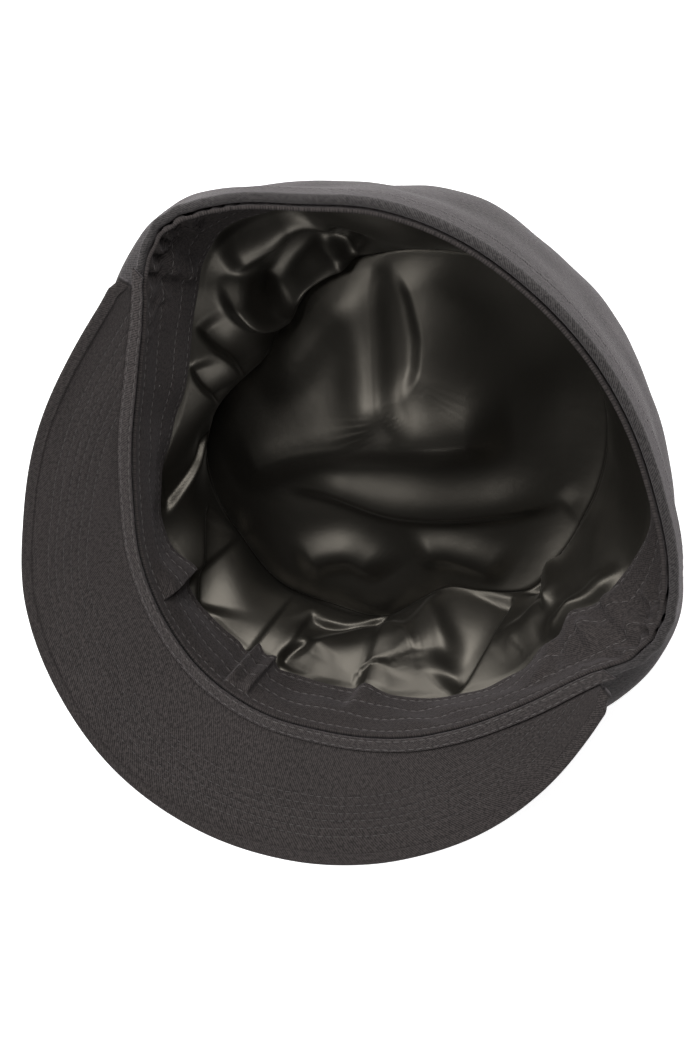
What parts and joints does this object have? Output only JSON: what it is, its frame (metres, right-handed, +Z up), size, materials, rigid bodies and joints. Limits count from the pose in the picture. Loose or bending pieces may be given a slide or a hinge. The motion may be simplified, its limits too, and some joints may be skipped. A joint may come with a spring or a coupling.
{
  "type": "officer cap",
  "caption": "Soft officer cap with a crescent peak, an inner sweatband and a loose satin lining, turned over and resting on its flat crown.",
  "frame": {"origin": "middle of the crown's flat outer face, on which the cap rests", "axes": "+Z up out of the opening, -Y towards the peak, +X to the right when looking along +Y"},
  "size_m": [0.2123, 0.2225, 0.0897],
  "materials": {
    "crown_twill": "matt cotton twill, charcoal with a slight violet cast",
    "band_twill": "matt cotton twill, black-brown, with stitch rows",
    "peak_twill": "matt cotton twill over a stiffener, black-brown, with stitch rows",
    "lining_satin": "glossy satin, olive black"
  },
  "bodies": {
    "root": {"crown_side": "crown_twill", "crown_top": "crown_twill", "sweatband": "band_twill", "lining_side": "lining_satin", "lining_top": "lining_satin", "peak": "peak_twill", "peak_binding": "peak_twill", "seam_tape": "band_twill"}
  },
  "joints": []
}
